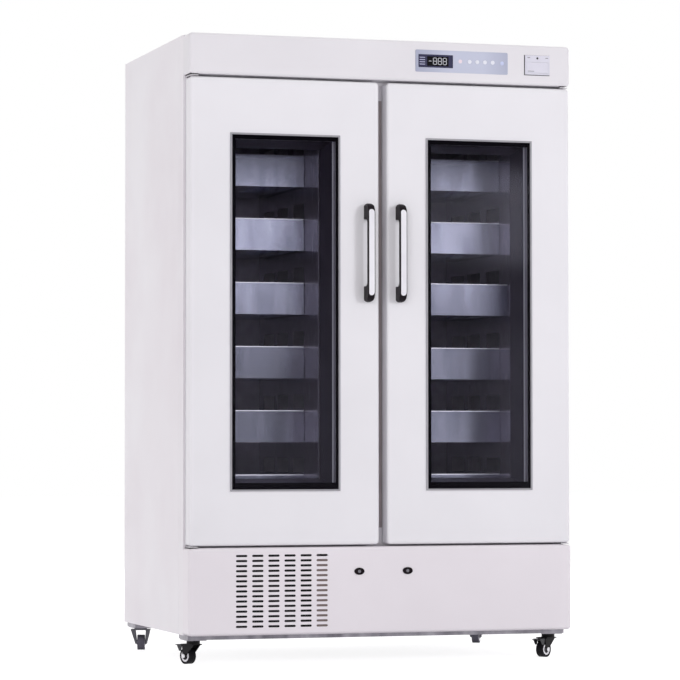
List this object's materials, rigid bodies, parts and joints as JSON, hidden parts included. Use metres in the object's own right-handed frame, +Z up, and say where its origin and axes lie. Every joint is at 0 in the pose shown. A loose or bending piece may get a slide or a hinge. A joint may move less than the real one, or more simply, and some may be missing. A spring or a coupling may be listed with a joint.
{
  "type": "blood bank refrigerator",
  "caption": "Tall two-door upright laboratory refrigerator with framed windows, pull-out steel drawers, a top control strip, a vented lower panel and swivel casters.",
  "frame": {"origin": "middle of the object's own box, on the floor under the casters", "axes": "+X to the right as seen from the front, +Y from the doors to the back, +Z up; the doors face -Y"},
  "size_m": [1.26, 0.91, 1.958],
  "materials": {
    "white_enamel": "smooth white enamel",
    "foam": "closed foam",
    "liner_steel": "fine brushed",
    "dark_plastic": "satin dark grey",
    "rack_steel": "fine brushed",
    "keypad_film": "satin lilac grey film",
    "display_dark": "glossy dark window",
    "recorder_plastic": "light lilac",
    "rail_steel": "dark grey enamel",
    "compressor_iron": "black enamel",
    "coil_aluminium": "plain mill finish",
    "door_plastic": "satin light grey",
    "trim_plastic": "satin silver grey",
    "clear_glass": "clear",
    "seal_rubber": "soft grey",
    "handle_plastic": "glossy black",
    "strip_plastic": "glossy silver grey",
    "lock_chrome": "polished",
    "drawer_steel": "fine brushed",
    "key_plastic": "soft white",
    "fan_plastic": "black",
    "fork_dark": "black enamel",
    "pedal_plastic": "dark grey",
    "fork_zinc": "zinc plate",
    "wheel_rubber": "dark tread"
  },
  "bodies": {
    "cabinet": {"outer_shell": "white_enamel", "insulation": "foam", "inner_liner": "liner_steel", "mullion": "dark_plastic", "drawer_racks": "rack_steel", "top_fascia": "white_enamel", "control_panel": "keypad_film", "display_window": "display_dark", "recorder_body": "recorder_plastic", "lower_panel": "white_enamel", "hinge_brackets": "white_enamel", "base_rails": "rail_steel", "compressor": "compressor_iron", "condenser": "coil_aluminium", "evaporator": "coil_aluminium"},
    "left_door": {"left_door_skin": "white_enamel", "left_door_liner": "door_plastic", "left_window_trim": "trim_plastic", "left_glass": "clear_glass", "left_gasket": "seal_rubber", "left_handle": "handle_plastic", "left_handle_strip": "strip_plastic"},
    "right_door": {"right_door_skin": "white_enamel", "right_door_liner": "door_plastic", "right_window_trim": "trim_plastic", "right_glass": "clear_glass", "right_gasket": "seal_rubber", "right_handle": "handle_plastic", "right_handle_strip": "strip_plastic"},
    "left_drawer_1": {"left_drawer_1": "drawer_steel"},
    "left_drawer_2": {"left_drawer_2": "drawer_steel"},
    "left_drawer_3": {"left_drawer_3": "drawer_steel"},
    "left_drawer_4": {"left_drawer_4": "drawer_steel"},
    "left_drawer_5": {"left_drawer_5": "drawer_steel"},
    "left_drawer_6": {"left_drawer_6": "drawer_steel"},
    "right_drawer_1": {"right_drawer_1": "drawer_steel"},
    "right_drawer_2": {"right_drawer_2": "drawer_steel"},
    "right_drawer_3": {"right_drawer_3": "drawer_steel"},
    "right_drawer_4": {"right_drawer_4": "drawer_steel"},
    "right_drawer_5": {"right_drawer_5": "drawer_steel"},
    "right_drawer_6": {"right_drawer_6": "drawer_steel"},
    "key_1": {"key_1": "key_plastic"},
    "key_2": {"key_2": "key_plastic"},
    "key_3": {"key_3": "key_plastic"},
    "key_4": {"key_4": "key_plastic"},
    "left_lock": {"left_lock": "lock_chrome"},
    "right_lock": {"right_lock": "lock_chrome"},
    "recorder_flap": {"recorder_flap": "recorder_plastic"},
    "front_left_fork": {"front_left_fork": "fork_dark"},
    "front_left_wheel": {"front_left_wheel": "wheel_rubber"},
    "front_left_brake": {"front_left_brake": "pedal_plastic"},
    "front_right_fork": {"front_right_fork": "fork_dark"},
    "front_right_wheel": {"front_right_wheel": "wheel_rubber"},
    "front_right_brake": {"front_right_brake": "pedal_plastic"},
    "rear_left_fork": {"rear_left_fork": "fork_zinc"},
    "rear_left_wheel": {"rear_left_wheel": "wheel_rubber"},
    "rear_right_fork": {"rear_right_fork": "fork_zinc"},
    "rear_right_wheel": {"rear_right_wheel": "wheel_rubber"},
    "condenser_fan": {"condenser_fan": "fan_plastic"},
    "evaporator_fan": {"evaporator_fan": "fan_plastic"}
  },
  "joints": [
    {"name": "left_door_hinge", "type": "hinge", "parent": "cabinet", "child": "left_door", "pos_m": [-0.615, -0.383, 1.0955], "axis": [0, 0, -1], "range_deg": [0, 110]},
    {"name": "right_door_hinge", "type": "hinge", "parent": "cabinet", "child": "right_door", "pos_m": [0.615, -0.383, 1.0955], "axis": [0, 0, 1], "range_deg": [0, 110]},
    {"name": "left_drawer_1_slide", "type": "slide", "parent": "cabinet", "child": "left_drawer_1", "axis": [0, -1, 0], "range_m": [0, 0.42]},
    {"name": "left_drawer_2_slide", "type": "slide", "parent": "cabinet", "child": "left_drawer_2", "axis": [0, -1, 0], "range_m": [0, 0.42]},
    {"name": "left_drawer_3_slide", "type": "slide", "parent": "cabinet", "child": "left_drawer_3", "axis": [0, -1, 0], "range_m": [0, 0.42]},
    {"name": "left_drawer_4_slide", "type": "slide", "parent": "cabinet", "child": "left_drawer_4", "axis": [0, -1, 0], "range_m": [0, 0.42]},
    {"name": "left_drawer_5_slide", "type": "slide", "parent": "cabinet", "child": "left_drawer_5", "axis": [0, -1, 0], "range_m": [0, 0.42]},
    {"name": "left_drawer_6_slide", "type": "slide", "parent": "cabinet", "child": "left_drawer_6", "axis": [0, -1, 0], "range_m": [0, 0.42]},
    {"name": "right_drawer_1_slide", "type": "slide", "parent": "cabinet", "child": "right_drawer_1", "axis": [0, -1, 0], "range_m": [0, 0.42]},
    {"name": "right_drawer_2_slide", "type": "slide", "parent": "cabinet", "child": "right_drawer_2", "axis": [0, -1, 0], "range_m": [0, 0.42]},
    {"name": "right_drawer_3_slide", "type": "slide", "parent": "cabinet", "child": "right_drawer_3", "axis": [0, -1, 0], "range_m": [-0.077, 0.343]},
    {"name": "right_drawer_4_slide", "type": "slide", "parent": "cabinet", "child": "right_drawer_4", "axis": [0, -1, 0], "range_m": [0, 0.42]},
    {"name": "right_drawer_5_slide", "type": "slide", "parent": "cabinet", "child": "right_drawer_5", "axis": [0, -1, 0], "range_m": [0, 0.42]},
    {"name": "right_drawer_6_slide", "type": "slide", "parent": "cabinet", "child": "right_drawer_6", "axis": [0, -1, 0], "range_m": [0, 0.42]},
    {"name": "key_1_press", "type": "slide", "parent": "cabinet", "child": "key_1", "axis": [0, 1, 0], "range_m": [0, 0.0008], "stiffness_N_per_m": 400},
    {"name": "key_2_press", "type": "slide", "parent": "cabinet", "child": "key_2", "axis": [0, 1, 0], "range_m": [0, 0.0008], "stiffness_N_per_m": 400},
    {"name": "key_3_press", "type": "slide", "parent": "cabinet", "child": "key_3", "axis": [0, 1, 0], "range_m": [0, 0.0008], "stiffness_N_per_m": 400},
    {"name": "key_4_press", "type": "slide", "parent": "cabinet", "child": "key_4", "axis": [0, 1, 0], "range_m": [0, 0.0008], "stiffness_N_per_m": 400},
    {"name": "left_lock_turn", "type": "hinge", "parent": "cabinet", "child": "left_lock", "pos_m": [-0.0795, -0.39, 0.286], "axis": [0, 1, 0], "range_deg": [0, 90]},
    {"name": "right_lock_turn", "type": "hinge", "parent": "cabinet", "child": "right_lock", "pos_m": [0.0795, -0.39, 0.286], "axis": [0, -1, 0], "range_deg": [0, 90]},
    {"name": "recorder_flap_hinge", "type": "hinge", "parent": "cabinet", "child": "recorder_flap", "pos_m": [0.5183, -0.4077, 1.8705], "axis": [1, 0, 0], "range_deg": [0, 85]},
    {"name": "front_left_swivel", "type": "hinge", "parent": "cabinet", "child": "front_left_fork", "pos_m": [-0.589, -0.304, 0.072], "axis": [0, 0, 1], "continuous": true},
    {"name": "front_left_roll", "type": "hinge", "parent": "front_left_fork", "child": "front_left_wheel", "pos_m": [-0.59986, -0.28038, 0.025], "axis": [-0.9085, -0.4179, 0], "continuous": true},
    {"name": "front_left_brake_pedal", "type": "hinge", "parent": "front_left_fork", "child": "front_left_brake", "pos_m": [-0.60321, -0.27311, 0.055], "axis": [-0.9085, -0.4179, 0], "range_deg": [0, 15]},
    {"name": "front_right_swivel", "type": "hinge", "parent": "cabinet", "child": "front_right_fork", "pos_m": [0.589, -0.304, 0.072], "axis": [0, 0, 1], "continuous": true},
    {"name": "front_right_roll", "type": "hinge", "parent": "front_right_fork", "child": "front_right_wheel", "pos_m": [0.56762, -0.3188, 0.025], "axis": [0.5693, -0.8221, 0], "continuous": true},
    {"name": "front_right_brake_pedal", "type": "hinge", "parent": "front_right_fork", "child": "front_right_brake", "pos_m": [0.56105, -0.32336, 0.055], "axis": [0.5693, -0.8221, 0], "range_deg": [0, 15]},
    {"name": "rear_left_swivel", "type": "hinge", "parent": "cabinet", "child": "rear_left_fork", "pos_m": [-0.589, 0.394, 0.072], "axis": [0, 0, 1], "continuous": true},
    {"name": "rear_left_roll", "type": "hinge", "parent": "rear_left_fork", "child": "rear_left_wheel", "pos_m": [-0.58127, 0.41882, 0.025], "axis": [-0.9548, 0.2974, 0], "continuous": true},
    {"name": "rear_right_swivel", "type": "hinge", "parent": "cabinet", "child": "rear_right_fork", "pos_m": [0.589, 0.394, 0.072], "axis": [0, 0, 1], "continuous": true},
    {"name": "rear_right_roll", "type": "hinge", "parent": "rear_right_fork", "child": "rear_right_wheel", "pos_m": [0.60121, 0.41696, 0.025], "axis": [-0.8829, 0.4695, 0], "continuous": true},
    {"name": "condenser_fan_spin", "type": "hinge", "parent": "cabinet", "child": "condenser_fan", "pos_m": [-0.33, -0.227, 0.222], "axis": [0, 1, 0], "continuous": true},
    {"name": "evaporator_fan_spin", "type": "hinge", "parent": "cabinet", "child": "evaporator_fan", "pos_m": [0, -0.178, 1.671], "axis": [0, 1, 0], "continuous": true}
  ],
  "couplings": [
    {"joint": "left_drawer_1_slide", "follows": "left_door_hinge", "m_per_rad": 0.2187},
    {"joint": "left_drawer_2_slide", "follows": "left_door_hinge", "m_per_rad": 0.2187},
    {"joint": "left_drawer_3_slide", "follows": "left_door_hinge", "m_per_rad": 0.2187},
    {"joint": "left_drawer_4_slide", "follows": "left_door_hinge", "m_per_rad": 0.2187},
    {"joint": "left_drawer_5_slide", "follows": "left_door_hinge", "m_per_rad": 0.2187},
    {"joint": "left_drawer_6_slide", "follows": "left_door_hinge", "m_per_rad": 0.2187},
    {"joint": "right_drawer_1_slide", "follows": "right_door_hinge", "m_per_rad": 0.2187},
    {"joint": "right_drawer_2_slide", "follows": "right_door_hinge", "m_per_rad": 0.2187},
    {"joint": "right_drawer_3_slide", "follows": "right_door_hinge", "m_per_rad": 0.1786},
    {"joint": "right_drawer_4_slide", "follows": "right_door_hinge", "m_per_rad": 0.2187},
    {"joint": "right_drawer_5_slide", "follows": "right_door_hinge", "m_per_rad": 0.2187},
    {"joint": "right_drawer_6_slide", "follows": "right_door_hinge", "m_per_rad": 0.2187}
  ]
}
